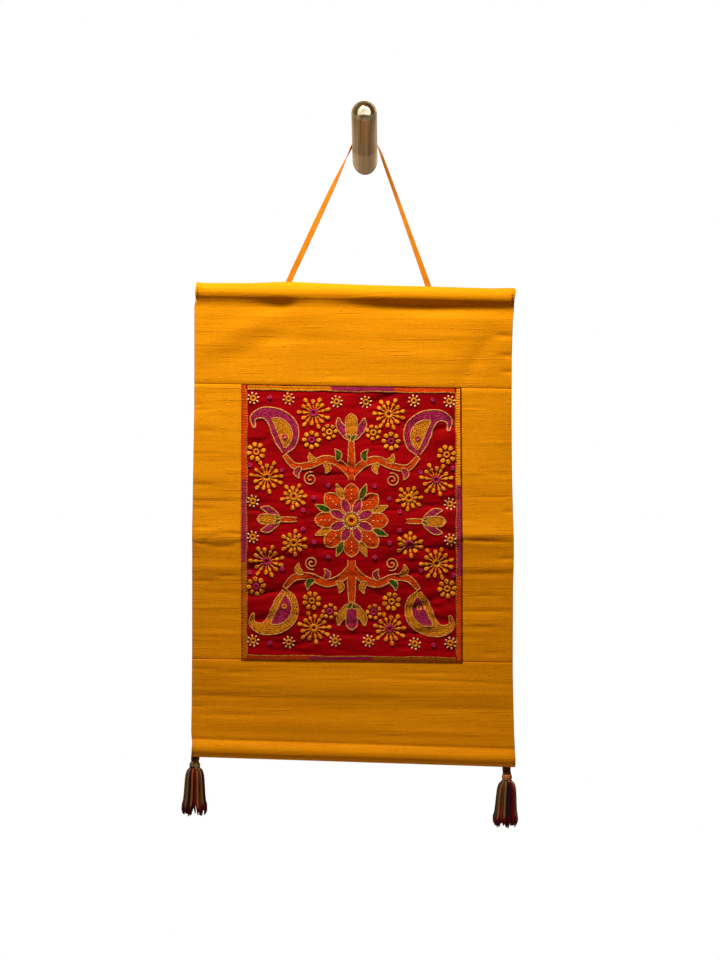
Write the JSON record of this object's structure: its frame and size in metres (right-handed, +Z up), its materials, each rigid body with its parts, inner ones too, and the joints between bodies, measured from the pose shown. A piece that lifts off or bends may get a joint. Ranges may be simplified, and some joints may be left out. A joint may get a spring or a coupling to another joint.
{
  "type": "embroidered wall hanging and wall peg",
  "caption": "Small silk wall hanging with an embroidered panel, a rod in a sleeve at top and foot, a flat hanging cord over a round peg, and a yarn tassel at each lower corner.",
  "frame": {"origin": "middle of the peg's flat wall end, on the wall plane y = 0", "axes": "+Z up, +Y into the wall, -Y the front, +X to the viewer's right; the hanging hangs below and in front of the origin"},
  "size_m": [0.3224, 0.065, 0.6848],
  "materials": {
    "peg_brass": "satin",
    "cord_silk": "satin slubbed silk",
    "border_silk": "satin slubbed silk",
    "panel_cloth": "matt cloth under dense embroidery",
    "rod_wood": "bare",
    "tassel_yarn": "matt yarn",
    "binding_thread": "wound thread"
  },
  "bodies": {
    "root": {"wall_peg": "peg_brass", "hanging_cord": "cord_silk", "top_rod": "rod_wood", "top_band": "border_silk", "left_strip": "border_silk", "embroidered_panel": "panel_cloth", "right_strip": "border_silk", "bottom_band": "border_silk", "bottom_rod": "rod_wood", "tassel_left_loop": "tassel_yarn", "tassel_left_binding": "binding_thread", "tassel_left_skirt": "tassel_yarn", "tassel_right_loop": "tassel_yarn", "tassel_right_binding": "binding_thread", "tassel_right_skirt": "tassel_yarn"}
  },
  "joints": []
}
